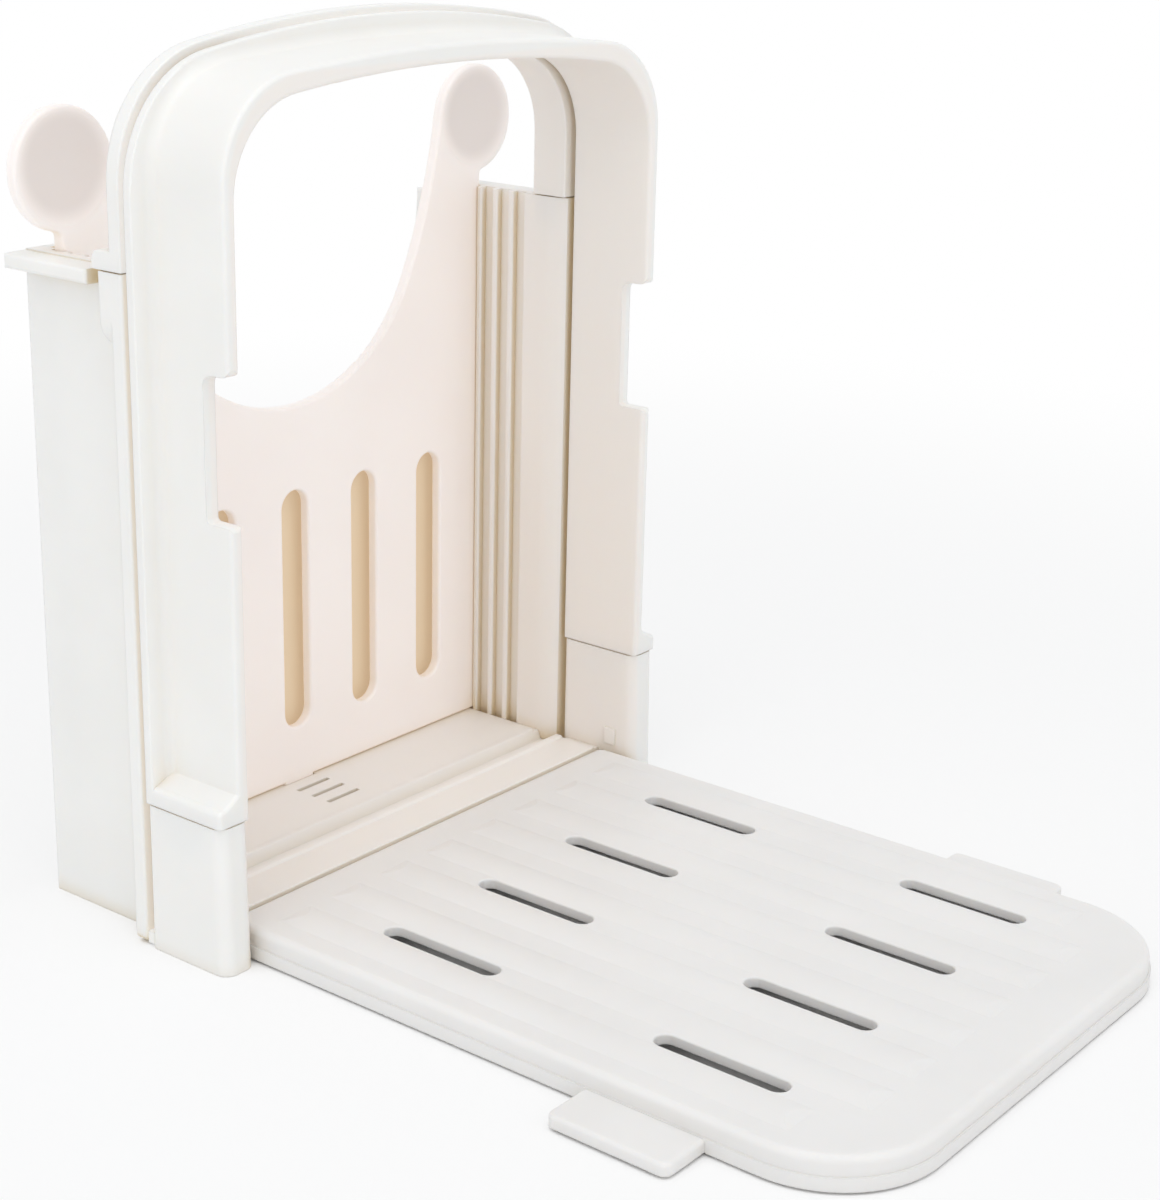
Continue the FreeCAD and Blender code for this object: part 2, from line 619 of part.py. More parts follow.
def make_bread_board():
    body = new_body("bread_board")
    step = f"({BOARD_UNDER} + board_step_high)"
    board_slab(body, "lower_part", "0", BOARD_UNDER, step)
    board_slab(body, "upper_part", "board_step", step, BOARD_TOP)
    round_edges(body, "upper_edge", "board_round",
                between(y=(BOARD_FRONT, "-1"), z=(BOARD_TOP, BOARD_TOP)),
                between(y=(f"{BOARD_FRONT} + board_corner", "0"), z=(BOARD_TOP, BOARD_TOP),
                        x=(negative(BOARD_HALF), "-1")),
                between(y=(f"{BOARD_FRONT} + board_corner", "0"), z=(BOARD_TOP, BOARD_TOP),
                        x=("1", BOARD_HALF)))
    nose = [
        (BOARD_TOP, "0", BOARD_TOP, LEFT),
        ("0", BOARD_TOP, BOARD_TOP, LEFT),
        ("-1 * board_step", BOARD_TOP),
        ("-1 * board_step", BOARD_UNDER),
        ("0", BOARD_UNDER),
    ]
    nose_half = f"({BOARD_HALF} - board_step - board_round)"
    pad(body, "round_end", "YZ", [nose], negative(nose_half), nose_half)
    slots = []
    for lane in (-3, -1, 1, 3):
        for row in ("0", "slot_rear_row"):
            start = f"(hinge_back - slot_front + {row})"
            slots.append(upright_slot(f"{lane} * lane_pitch", start, f"{start} + slot_length",
                                      "slot_width"))
    cut(body, "slots", "XY", slots, BOARD_UNDER, BOARD_TOP)
    slots_front = "hinge_back - slot_front"
    slots_rear = f"{slots_front} + slot_rear_row + slot_length"
    round_edges(body, "slot_edges", "fine_round",
                between(z=(BOARD_TOP, BOARD_TOP), x=("-4 * lane_pitch", "4 * lane_pitch"),
                        y=(slots_front, slots_rear)))
    cut(body, "underside", "XY", board_hollows(), BOARD_UNDER, f"{BOARD_TOP} - board_skin")
    add_beads(body)
    tab_front = "(hinge_back - tab_front)"
    tab_side = f"({BOARD_HALF} + tab_proud)"
    tab_root = f"({BOARD_HALF} - board_rim)"
    tab = [
        (tab_root, tab_front),
        (f"{tab_side} - tab_corner", tab_front),
        (tab_side, f"{tab_front} + tab_corner", "tab_corner", LEFT),
        (tab_side, f"{tab_front} + tab_length - tab_corner"),
        (f"{tab_side} - tab_corner", f"{tab_front} + tab_length", "tab_corner", LEFT),
        (tab_root, f"{tab_front} + tab_length"),
    ]
    tab_base = f"(tab_low - {HINGE_Z})"
    tab_top = f"({tab_base} + tab_thick)"
    pad(body, "tabs", "XY", [tab, flipped(tab)], tab_base, tab_top)
    top_face = (tab_top, tab_top)
    ends = ((tab_front, f"{tab_front} + tab_corner"),
            (f"{tab_front} + tab_length - tab_corner", f"{tab_front} + tab_length"))
    round_edges(body, "tab_edges", "tab_round",
                between(z=top_face, x=(f"{tab_side} - tab_corner", tab_side)),
                between(z=top_face, x=(negative(tab_side), f"tab_corner - {tab_side}")),
                *(between(z=top_face, y=end) for end in ends))
    for side, sign in SIDES:
        bore = body.newObject("PartDesign::SubtractiveCylinder", f"{side}_pin_bore")
        bore.setExpression("Radius", tied("pin_radius"))
        bore.setExpression("Height", tied("pin_in_board"))
        lay_along_x(bore, sign, f"{BOARD_HALF} - pin_in_board", "0", "0")
        rest = body.newObject("PartDesign::AdditiveCylinder", f"{side}_rest_pad")
        rest.setExpression("Radius", tied("rest_pad"))
        rest.setExpression("Height", tied("board_lift + board_thick - board_skin / 2"))
        rest.setExpression("Placement.Base.x", tied(f"{sign} * ({BOARD_HALF} - rest_pad_inset)"))
        rest.setExpression("Placement.Base.y", tied(f"{BOARD_FRONT} + rest_pad_inset"))
        rest.setExpression("Placement.Base.z", tied(f"-1 * {HINGE_Z}"))
    body.setExpression("Placement.Base.y", tied(HINGE_Y))
    body.setExpression("Placement.Base.z", tied(HINGE_Z))
    return body


# ---- base: the sill between the feet and the floor of the housing

def make_base_sill():
    body = new_body("base_sill")
    dip = "(sill_top - sill_dip)"
    trough_front = "(nosing_behind + trough_ramp)"
    trough_rear = "(sill_rear - nosing - trough_ramp)"
    profile = [
        (SILL_FRONT, "sill_low"),
        ("sill_rear", "sill_low"),
        ("sill_rear", "sill_top"),
        ("sill_rear - nosing", "sill_top"),
        (trough_rear, "trough_floor"),
        (trough_front, "trough_floor"),
        ("nosing_behind", "sill_top"),
        ("nosing_behind - nosing", "sill_top"),
        ("nosing_behind - nosing - sill_dip", dip),
        (f"{SILL_FRONT} + fine_round", dip),
        (SILL_FRONT, f"{dip} - fine_round", "fine_round", LEFT),
    ]
    pad(body, "section", "YZ", [profile], negative(ROOM_HALF), ROOM_HALF)
    round_edges(body, "nosing_edges", "fine_round",
                between(z=("sill_top", "sill_top"), y=("nosing_behind - nosing", "sill_rear - nosing")))
    tongue = rectangle(SILL_FRONT, "-1 * foot_corner", "sill_low", f"{dip} - fine_round")
    pad(body, "end_tongues", "YZ", [tongue], negative(FOOT_HALF), FOOT_HALF)
    nosing_end = rectangle(f"{ROOM_HALF} - nosing_end", f"{ROOM_HALF} + 1",
                           "sill_rear - nosing - trough_ramp", "sill_rear + 1")
    cut(body, "nosing_ends", "XY", [nosing_end, flipped(nosing_end)], "floor_top", "sill_top + 1")
    hollows = base_hollows(f"{SILL_FRONT} + moulding_wall", "sill_rear - moulding_wall")
    cut(body, "underside", "XY", hollows, "sill_low", "trough_floor - moulding_wall")
    return body


def base_hollows(front, rear):
    """Hollows between the ribs under a base moulding, three to each side."""
    clear = f"({ROOM_HALF} - moulding_wall)"
    hollows = []
    for cell in range(3):
        near = f"({clear} * {cell} / 3 + base_rib / 2)"
        far = f"({clear} * {cell + 1} / 3 - base_rib / 2)"
        hollow = rectangle(near, far, front, rear)
        hollows += [hollow, flipped(hollow)]
    return hollows


def make_floor_tray():
    body = new_body("floor_tray")
    floor = rectangle(negative(ROOM_HALF), ROOM_HALF, "sill_rear", ROOM_REAR)
    pad(body, "floor", "XY", [floor], "sill_low", "floor_top")
    hollows = base_hollows("sill_rear + moulding_wall", f"{ROOM_REAR} - moulding_wall")
    cut(body, "underside", "XY", hollows, "sill_low", "floor_top - moulding_wall")
    locators = []
    for channel in range(CHANNELS):
        middle = f"({CHANNEL_Y} + {channel} * channel_pitch + plate_front_fit + key_thick / 2)"
        locators.append(rectangle(*box_round("0", "locator_length"),
                                  *box_round(middle, "locator_width")))
    cut(body, "locating_slots", "XY", locators, "sill_low", "floor_top")
    return body


# ---- rear housing

def make_side_wall(side, sign):
    body = new_body(f"{side}_wall")
    section = [
        (f"{ROOM_HALF} + lead_in", "knife_slot"),
        (WALL_HALF, "knife_slot"),
        (WALL_HALF, "housing_rear"),
        (ROOM_HALF, "housing_rear"),
    ]
    for channel in reversed(range(CHANNELS)):
        start = f"({CHANNEL_Y} + {channel} * channel_pitch)"
        end = f"({start} + channel_width)"
        section += [(ROOM_HALF, end), (CHANNEL_HALF, end), (CHANNEL_HALF, start), (ROOM_HALF, start)]
    section.append((ROOM_HALF, "knife_slot + lead_long"))
    lead_radius = "((lead_long^2 + lead_in^2) / (2 * lead_in))"
    section[0] = (*section[0], lead_radius, LEFT)
    pad(body, "wall", "XY", [on_side(section, sign)], "0", WALL_TOP)
    ridges = (f"{ROOM_HALF} - 0.1", f"{ROOM_HALF} + 0.1")
    if sign == "-1":
        ridges = (negative(ridges[1]), negative(ridges[0]))
    round_edges(body, "ridge_rounding", "ridge_round",
                between(x=ridges, y=(CHANNEL_Y, f"{ROOM_REAR} - 0.5")))
    flange = [
        (f"{WALL_HALF} - 1", "bridge_low"),
        (f"{HALF_SPAN} - foot_corner", "bridge_low"),
        (HALF_SPAN, "bridge_low + foot_corner", "foot_corner", LEFT),
        (HALF_SPAN, WALL_TOP),
        (f"{WALL_HALF} - 1", WALL_TOP),
    ]
    pad(body, "flange", "XZ", [on_side(flange, sign)], "knife_slot", FLANGE_REAR)
    side_face = (HALF_SPAN, HALF_SPAN) if sign == "1" else (negative(HALF_SPAN), negative(HALF_SPAN))
    round_edges(body, "flange_edge", "edge_round",
                between(x=side_face, y=("knife_slot", "knife_slot")))
    boss_base = f"({WALL_TOP} - boss_tall)"
    boss = [
        (f"{WALL_HALF} - 1", f"{boss_base} - 1"),
        (WALL_HALF, boss_base),
        (HALF_SPAN, f"{boss_base} + wall_step", "wall_step", LEFT),
        (HALF_SPAN, WALL_TOP),
        (f"{WALL_HALF} - 1", WALL_TOP),
    ]
    pad(body, "boss", "XZ", [on_side(boss, sign)], "knife_slot + 1", f"{FLANGE_REAR} + boss_long")
    lip = rectangle(f"{WALL_HALF} - 1", HALF_SPAN, "lip_start", "housing_rear")
    pad(body, "lip", "XY", [on_side(lip, sign)], f"{WALL_TOP} - lip_drop - lip_thick",
        f"{WALL_TOP} - lip_drop")
    round_edges(body, "lip_edges", "lip_round",
                between(x=side_face, y=("lip_start", "housing_rear")))
    socket = rectangle(*box_round(REAR_PLUG_X, "rear_plug_wide + 2 * plug_fit"),
                       *box_round(REAR_PLUG_Y, "rear_plug_long + 2 * plug_fit"))
    cut(body, "socket", "XY", [on_side(socket, sign)], f"{WALL_TOP} - rear_plug_deep", WALL_TOP)
    return body


def make_back_wall():
    body = new_body("back_wall")
    cut_low = f"({WALL_TOP} - back_cut)"
    outline = [
        (negative(ROOM_HALF), "sill_low"),
        (ROOM_HALF, "sill_low"),
        (ROOM_HALF, WALL_TOP),
        ("back_cut", WALL_TOP),
        ("0", cut_low, "back_cut", RIGHT),
        ("-1 * back_cut", WALL_TOP, "back_cut", RIGHT),
        (negative(ROOM_HALF), WALL_TOP),
    ]
    pad(body, "panel", "XZ", [outline], ROOM_REAR, "housing_rear")
    round_edges(body, "cut_rounding", "edge_round",
                between(x=("-1 * back_cut", "back_cut"), z=(cut_low, WALL_TOP)))
    return body


def make_rear_arch():
    body = new_body("rear_arch")
    rear = "(knife_slot + rear_web)"
    pad(body, "arch_flange", "XZ", [band(REAR_FLANGE, REAR_OPENING, REAR_BASE)], "knife_slot", FLANGE_REAR)
    pad(body, "arch_web", "XZ", [band(REAR_WEB, REAR_OPENING, REAR_BASE)], "knife_slot", rear)
    round_edges(body, "rim_hollow", "rim_blend",
                between(x=(negative(WALL_HALF), WALL_HALF), y=(FLANGE_REAR, FLANGE_REAR),
                        z=("0", WEB_TOP)))
    round_edges(body, "outer_edges", "fine_round",
                between(y=("knife_slot", "knife_slot"), z=(f"{REAR_BASE} + 1", "flange_top")),
                between(y=(rear, rear), z=(REAR_BASE, "flange_top")))
    heel_rear = f"({FLANGE_REAR} + heel_long)"
    heel_top = f"({REAR_BASE} + heel_tall)"
    heel = [
        (f"{FLANGE_REAR} - 1", REAR_BASE),
        (heel_rear, REAR_BASE),
        (heel_rear, f"{heel_top} - heel_corner"),
        (f"{heel_rear} - heel_corner", heel_top, "heel_corner", LEFT),
        (f"{FLANGE_REAR} - 1", heel_top),
    ]
    pad(body, "right_heel", "YZ", [heel], f"{WALL_HALF} - 1", HALF_SPAN)
    pad(body, "left_heel", "YZ", [heel], negative(HALF_SPAN), f"-1 * ({WALL_HALF} - 1)")
    heel_outline = {"y": (FLANGE_REAR, heel_rear), "z": (f"{REAR_BASE} + fine_round", heel_top)}
    round_edges(body, "heel_edges", "fine_round",
                between(x=(HALF_SPAN, HALF_SPAN), **heel_outline),
                between(x=(negative(HALF_SPAN), negative(HALF_SPAN)), **heel_outline))
    plug = rectangle(*box_round(REAR_PLUG_X, "rear_plug_wide"), *box_round(REAR_PLUG_Y, "rear_plug_long"))
    pad(body, "plugs", "XY", [plug, flipped(plug)], f"{WALL_TOP} - rear_plug_deep", f"{REAR_BASE} + 1")
    return body


# ---- stop plate, made at its own front face

EAR_X = "(span / 2 - ear_inset)"
EAR_Z = f"({WALL_TOP} + ear_high)"
CUT_Z = f"({WALL_TOP} - cut_below + cut_radius)"


def horn_points():
    """Where the inner side of the right-hand horn leaves the cut-out and where it meets the ear.

    Its arc is tangent to the round bottom of the cut-out from inside and to the ear from outside.
    """
    to_cut = "(horn_radius - cut_radius)"
    to_ear = "(horn_radius + ear_radius)"
    rise = f"({EAR_Z} - {CUT_Z})"
    apart = f"sqrt({EAR_X}^2 + {rise}^2)"
    along = f"(({to_cut}^2 - {to_ear}^2 + {apart}^2) / (2 * {apart}))"
    across = f"sqrt({to_cut}^2 - {along}^2)"
    centre_x = f"(({along} * {EAR_X} - {across} * {rise}) / {apart})"
    centre_z = f"({CUT_Z} + ({along} * {rise} + {across} * {EAR_X}) / {apart})"
    leave = (f"(-1 * {centre_x} * cut_radius / {to_cut})",
             f"({CUT_Z} + ({CUT_Z} - {centre_z}) * cut_radius / {to_cut})")
    meet = (f"({centre_x} + ({EAR_X} - {centre_x}) * horn_radius / {to_ear})",
            f"({centre_z} + ({EAR_Z} - {centre_z}) * horn_radius / {to_ear})")
    return leave, meet


def make_stop_plate():
    body = new_body("stop_plate")
    half = f"({CHANNEL_HALF} - plate_side_fit)"
    hollow_x = f"({half} + neck_round)"
    hollow_z = f"({EAR_Z} - sqrt((ear_radius + neck_round)^2 - ({hollow_x} - {EAR_X})^2))"
    share = "(ear_radius / (ear_radius + neck_round))"
    ear_x = f"({EAR_X} + ({hollow_x} - {EAR_X}) * {share})"
    ear_z = f"({EAR_Z} + ({hollow_z} - {EAR_Z}) * {share})"
    leave, meet = horn_points()
    outline = [
        (half, PLATE_LOW),
        (half, hollow_z),
        (ear_x, ear_z, "neck_round", RIGHT),
        (f"{EAR_X} + ear_radius", EAR_Z, "ear_radius", LEFT),
        (EAR_X, f"{EAR_Z} + ear_radius", "ear_radius", LEFT),
        (*meet, "ear_radius", LEFT),
        (*leave, "horn_radius", RIGHT),
        (negative(leave[0]), leave[1], "cut_radius", RIGHT),
        (negative(meet[0]), meet[1], "horn_radius", RIGHT),
        (negative(EAR_X), f"{EAR_Z} + ear_radius", "ear_radius", LEFT),
        (f"-1 * ({EAR_X} + ear_radius)", EAR_Z, "ear_radius", LEFT),
        (negative(ear_x), ear_z, "ear_radius", LEFT),
        (negative(half), hollow_z, "neck_round", RIGHT),
        (negative(half), PLATE_LOW),
    ]
    pad(body, "panel", "XZ", [outline], "0", "plate_thick")
    key = rectangle("-1 * key_half", "key_half", f"{PLATE_LOW} - key_deep", f"{PLATE_LOW} + 1")
    pad(body, "key", "XZ", [key], "0", "key_thick")
    round_edges(body, "outline_edges", "plate_round",
                between(y=("0", "0")),
                between(y=("plate_thick", "plate_thick")))
    slots = []
    for slot in range(PLATE_SLOTS):
        middle = f"({slot - (PLATE_SLOTS - 1) / 2}) * plate_slot_pitch"
        slots.append(upright_slot(middle, "plate_slot_low", "plate_slot_high", "plate_slot_width"))
    cut(body, "slots", "XZ", slots, "0", "plate_thick")
    slot_rows = ("plate_slot_low", "plate_slot_high")
    round_edges(body, "slot_edges", "plate_slot_round",
                between(y=("0", "0"), z=slot_rows),
                between(y=("plate_thick", "plate_thick"), z=slot_rows))
    for side, sign in SIDES:
        dish = body.newObject("PartDesign::SubtractiveSphere", f"{side}_dish")
        sphere = "(((ear_radius - ear_rim)^2 + dish_deep^2) / (2 * dish_deep))"
        dish.setExpression("Radius", tied(sphere))
        dish.setExpression("Placement.Base.x", tied(f"{sign} * {EAR_X}"))
        dish.setExpression("Placement.Base.y", tied(f"dish_deep - {sphere}"))
        dish.setExpression("Placement.Base.z", tied(EAR_Z))
    last = f"({CHANNEL_Y} + {CHANNELS - 1} * channel_pitch)"
    body.setExpression("Placement.Base.y", tied(f"{last} + plate_front_fit"))
    return body


parts = [make_front_arch(), make_base_sill(), make_floor_tray(), make_back_wall(), make_rear_arch(),
         make_stop_plate(), make_bread_board()]
for side, sign in SIDES:
    parts += [make_foot(side, sign), make_hinge_pin(side, sign), make_side_wall(side, sign)]
doc.recompute()

failed = [item.Name for item in doc.Objects if "Invalid" in item.State or "Error" in item.State]
for item in doc.Objects:
    if item.TypeId == "PartDesign::Pocket" and item.Shape.Volume >= item.BaseFeature.Shape.Volume:
        failed.append(item.Name)
for part in parts:
    if part.Shape.isNull() or not part.Shape.isValid() or len(part.Shape.Solids) != 1:
        failed.append(part.Label)
if failed:
    raise RuntimeError("these objects failed: " + ", ".join(failed))

os.makedirs("parts", exist_ok=True)
for part in parts:
    part.Shape.exportStep(f"parts/{part.Label}.step")
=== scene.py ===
import json
import math

import bpy
from mathutils import Matrix, Vector

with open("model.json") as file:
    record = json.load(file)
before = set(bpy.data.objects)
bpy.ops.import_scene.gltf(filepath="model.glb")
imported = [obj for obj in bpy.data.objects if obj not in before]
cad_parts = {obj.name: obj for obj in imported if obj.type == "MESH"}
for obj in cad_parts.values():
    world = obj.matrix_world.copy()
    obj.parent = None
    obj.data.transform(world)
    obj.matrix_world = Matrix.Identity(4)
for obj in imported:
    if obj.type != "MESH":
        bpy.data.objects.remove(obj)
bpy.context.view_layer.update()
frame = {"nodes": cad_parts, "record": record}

MM = 0.001


# ---- shader maths: values that vary over the surface, with arithmetic

class Value:
    """A node's output socket. Arithmetic on it adds Math nodes."""

    def __init__(self, shader, socket):
        self.shader = shader
        self.socket = socket

    def maths(self, operation, first, second):
        return self.shader.node("ShaderNodeMath", {"operation": operation}, {0: first, 1: second})

    def __add__(self, other):
        return self.maths("ADD", self, other)

    def __radd__(self, other):
        return self.maths("ADD", other, self)

    def __sub__(self, other):
        return self.maths("SUBTRACT", self, other)

    def __rsub__(self, other):
        return self.maths("SUBTRACT", other, self)

    def __mul__(self, other):
        return self.maths("MULTIPLY", self, other)

    def __rmul__(self, other):
        return self.maths("MULTIPLY", other, self)

    def step(self, low, high):
        """0 below low and 1 above high, with a soft change between them."""
        sockets = {"Value": self, "From Min": low, "From Max": high}
        return self.shader.node("ShaderNodeMapRange", {"interpolation_type": "SMOOTHSTEP"}, sockets)


class Shader:
    """The nodes of one material, or of the world."""

    def __init__(self, holder):
        self.holder = holder
        holder.use_nodes = True
        self.tree = holder.node_tree
        self.tree.nodes.clear()

    def node(self, kind, settings, sockets, output=0):
        """Add a node: its settings first, then the values or links of its sockets."""
        made = self.tree.nodes.new(kind)
        for name, value in settings.items():
            setattr(made, name, value)
        for key, value in sockets.items():
            if isinstance(value, Value):
                self.tree.links.new(value.socket, made.inputs[key])
            else:
                made.inputs[key].default_value = value
        return Value(self, made.outputs[output]) if made.outputs else None

    def vector(self, operation, first, second=(0.0, 0.0, 0.0), output="Vector"):
        settings = {"operation": operation}
        return self.node("ShaderNodeVectorMath", settings, {0: first, 1: second}, output)

    def place(self, stretch=(1.0, 1.0, 1.0)):
        """The position on the object in metres, stretched along its axes."""
        return self.vector("MULTIPLY", self.node("ShaderNodeTexCoord", {}, {}, "Object"), stretch)

    def near_box(self, centre, half, low, high):
        """1 inside a box and up to a low distance from it, 0 beyond a high distance. All in mm."""
        centre, half = (tuple(part * MM for part in corner) for corner in (centre, half))
        apart = self.vector("ABSOLUTE", self.vector("SUBTRACT", self.place(), centre))
        beyond = self.vector("MAXIMUM", self.vector("SUBTRACT", apart, half))
        return 1.0 - self.vector("LENGTH", beyond, output="Value").step(low * MM, high * MM)

    def noise(self, where, per_metre, detail=2.0):
        sockets = {"Vector": where, "Scale": per_metre, "Detail": detail}
        return self.node("ShaderNodeTexNoise", {}, sockets, "Fac")

    def mix(self, share, first, second):
        """Blend two colours."""
        return self.node("ShaderNodeMix", {"data_type": "RGBA"}, {0: share, 6: first, 7: second}, 2)

    def mix_surfaces(self, share, first, second):
        return self.node("ShaderNodeMixShader", {}, {0: share, 1: first, 2: second})

    def shelter(self, distance, low, high):
        """1 where the surroundings close in within a distance, 0 where they are open."""
        settings = {"samples": SHADER_SAMPLES}
        seen = self.node("ShaderNodeAmbientOcclusion", settings, {"Distance": distance}, "AO")
        return 1.0 - seen.step(low, high)

    def bump(self, height, depth, normal):
        sockets = {"Height": height, "Distance": depth, "Strength": 1.0, "Normal": normal}
        return self.node("ShaderNodeBump", {}, sockets)

    def background_rays(self):
        """1 for the rays that show the background, straight, mirrored or let through."""
        return sum(self.node("ShaderNodeLightPath", {}, {}, f"Is {kind} Ray")
                   for kind in ("Camera", "Glossy", "Transmission"))

    def close(self, surface, output="ShaderNodeOutputMaterial"):
        self.node(output, {}, {"Surface": surface})
        return self.holder


def colour(red, green, blue):
    """A colour as it looks on a screen, 0 to 255, as linear light."""
    def linear(part):
        share = part / 255
        return share / 12.92 if share <= 0.04045 else ((share + 0.055) / 1.055) ** 2.4
    return (linear(red), linear(green), linear(blue), 1.0)


# ---- plastic

SHADER_SAMPLES = 6

# The patterns in the plastic, in marks per metre.
GRAIN = 2600.0
RIPPLE = 240.0
FLOW_MARKS = 160.0
CLOUDS = 28.0
FLOW_STRETCH = (1.0, 1.0, 0.12)      # the flow marks run up the piece
GRAIN_DEPTH = 0.006 * MM
RIPPLE_DEPTH = 0.012 * MM
CLOUD_EDGES = (0.35, 0.65)           # where the noise turns from a lighter cloud to a darker one
CLOUD_SHADE = 0.975                  # how bright the darker clouds are against the lighter ones

EDGE_RADIUS = 0.35 * MM
DEEP = (8.0 * MM, 0.15, 0.75)        # a recess for the painted shade: how near its walls are, how open its depth and rim
ROUGHNESS = 0.38
FLOW_ROUGHNESS = 0.10
CLOUD_ROUGHNESS = 0.12

# Light goes a little way into the plastic, red furthest.
DEPTH_SHARE = 0.2
DEPTH_COLOURS = (1.0, 0.8, 0.62)
DEPTH_REACH = 4.0 * MM

WHITE = colour(246, 245, 242)
# Painted warm shade for the faces inside the arches.
PAINTED_INNER_SHADE = colour(246, 241, 236)
PLATE = colour(250, 244, 241)
BOARD = colour(238, 236, 234)
# The recess colours are painted shade, laid where the surroundings close in.
PAINTED_RECESS_SHADE = colour(240, 229, 212)
PAINTED_BOARD_RECESS_SHADE = colour(230, 227, 222)
PAINTED_TAN_RECESS_SHADE = colour(226, 206, 168)
# Painted shade on the back wall behind the stop plate's slots.
PAINTED_TAN_SHADE = colour(218, 198, 170)
# Painted shade in the dishes of the ears.
PAINTED_DISH_SHADE = colour(239, 230, 226)

# Painted glow: emission on plastic that is no lamp, standing in for light that comes through the
# plastic.
NO_GLOW = (0.0, 0.0, 0.0, 1.0)
PLATE_PAINTED_GLOW = (0.10, 0.08, 0.072, 1.0)
BACK_PAINTED_GLOW = (0.19, 0.175, 0.135, 1.0)
SLOT_PAINTED_GLOW = (0.19, 0.23, 0.29, 1.0)

# Where the painted shade and glow change on a piece, as boxes in mm: their centre, half their
# size, and how far around them the zone is whole and how far it reaches. The opening of the
# arches is a box grown by the radius of its upper corners.
OPENING = ((0.0, 0.0, 0.0), (46.6, 300.0, 163.5))
OPENING_FACES = (21.0, 22.2)
OPENING_EDGES = (23.0, 27.0)
BACK_WALL_FRONT = ((0.0, 35.0, 70.0), (64.6, 0.4, 76.0), 0.0, 0.3)
PLATE_FRONT = ((0.0, 29.0, 100.0), (200.0, 2.2, 200.0), 0.0, 0.3)
EAR_DISHES = [((across, 31.0, 163.5), (0.0, 50.0, 0.0), 8.5, 14.0) for across in (-64.4, 64.4)]
KNIFE_SLOT = ((0.0, 0.8, 90.0), (200.0, 0.85, 300.0), 0.0, 0.1)


def arch_opening(shader):
    """The faces that look into the arches."""
    return shader.near_box(*OPENING, *OPENING_FACES)


def plate_side(shader):
    """The face of the back wall that looks to the stop plate."""
    return shader.near_box(*BACK_WALL_FRONT)


# Where the painted dish shade goes.
def ear_dishes(shader):
    """The dishes in the front of the two finger ears."""
    return shader.near_box(*PLATE_FRONT) * sum(shader.near_box(*dish) for dish in EAR_DISHES)


def plate_flat(shader):
    """The whole stop plate but for the dishes of its ears."""
    return 1.0 - ear_dishes(shader)


def slot_mouth(shader):
    """The faces inside the knife slot, towards the outside of the arches."""
    outwards = 1.0 - shader.near_box(*OPENING, *OPENING_EDGES)
    return shader.near_box(*KNIFE_SLOT) * outwards * shader.shelter(*DEEP)


def moulded(name, face, recess, zone=None, inner=None, glow=None, painted_glow_zone=None):
    """Satin moulded plastic: fine grain, faint flow marks, soft edges, painted warm shade in
    recesses.

    In a zone the face takes the zone's colour, a painted shade. The glow is painted light: emission
    that stands in for light coming through the plastic, within the zone given for it.
    """
    shader = Shader(bpy.data.materials.new(name))
    where = shader.place()
    grain = shader.noise(where, GRAIN)
    ripple = shader.noise(where, RIPPLE, detail=1.0)
    cloud = shader.noise(where, CLOUDS, detail=3.0)
    flow = shader.noise(shader.place(FLOW_STRETCH), FLOW_MARKS)

    darker = tuple(CLOUD_SHADE * part for part in face[:3]) + (1.0,)
    ground = shader.mix(cloud.step(*CLOUD_EDGES), face, darker)
    # Painted shade: the zone's colour laid over the face.
    if zone:
        ground = shader.mix(zone(shader), ground, inner)
    # Painted shade: the recess colour where the surroundings close in.
    painted_recess_mask = shader.shelter(*DEEP)

    soft_edge = shader.node("ShaderNodeBevel", {"samples": SHADER_SAMPLES}, {"Radius": EDGE_RADIUS})
    normal = shader.bump(ripple, RIPPLE_DEPTH, soft_edge)
    normal = shader.bump(grain, GRAIN_DEPTH, normal)
    sockets = {
        "Base Color": shader.mix(painted_recess_mask, ground, recess),
        "Roughness": ROUGHNESS + FLOW_ROUGHNESS * (flow - 0.5) + CLOUD_ROUGHNESS * (cloud - 0.5),
        "IOR": 1.46,
        "Subsurface Weight": DEPTH_SHARE,
        "Subsurface Radius": DEPTH_COLOURS,
        "Subsurface Scale": DEPTH_REACH,
        "Normal": normal,
    }
    # Painted glow: emission from the plastic within its zone.
    if glow:
        sockets["Emission Color"] = shader.mix(painted_glow_zone(shader), NO_GLOW, glow)
        sockets["Emission Strength"] = 1.0
    settings = {"subsurface_method": "RANDOM_WALK"}
    return shader.close(shader.node("ShaderNodeBsdfPrincipled", settings, sockets))


# Painted warm shade on the faces inside the arches, and a painted glow in the mouth of the knife
# slot.
inside = (arch_opening, PAINTED_INNER_SHADE, SLOT_PAINTED_GLOW, slot_mouth)
finishes = {
    "arch_plastic": moulded("arch_plastic_satin", WHITE, PAINTED_RECESS_SHADE, *inside),
    "base_plastic": moulded("base_plastic_satin", WHITE, PAINTED_RECESS_SHADE, *inside),
    "housing_plastic": moulded("housing_plastic_satin", WHITE, PAINTED_TAN_RECESS_SHADE, *inside),
    "plate_plastic": moulded("plate_plastic_satin", PLATE, PAINTED_RECESS_SHADE, ear_dishes, PAINTED_DISH_SHADE,
                             PLATE_PAINTED_GLOW, plate_flat),
    "board_plastic": moulded("board_plastic_satin", BOARD, PAINTED_BOARD_RECESS_SHADE),
    "pin_plastic": moulded("pin_plastic_satin", WHITE, PAINTED_RECESS_SHADE),
}
# The back wall is housing plastic too, with painted tan shade and a painted glow on the face behind
# the plate's slots.
back_finish = moulded("back_plastic_satin", WHITE, PAINTED_TAN_SHADE, plate_side, PAINTED_TAN_SHADE, BACK_PAINTED_GLOW, plate_side)

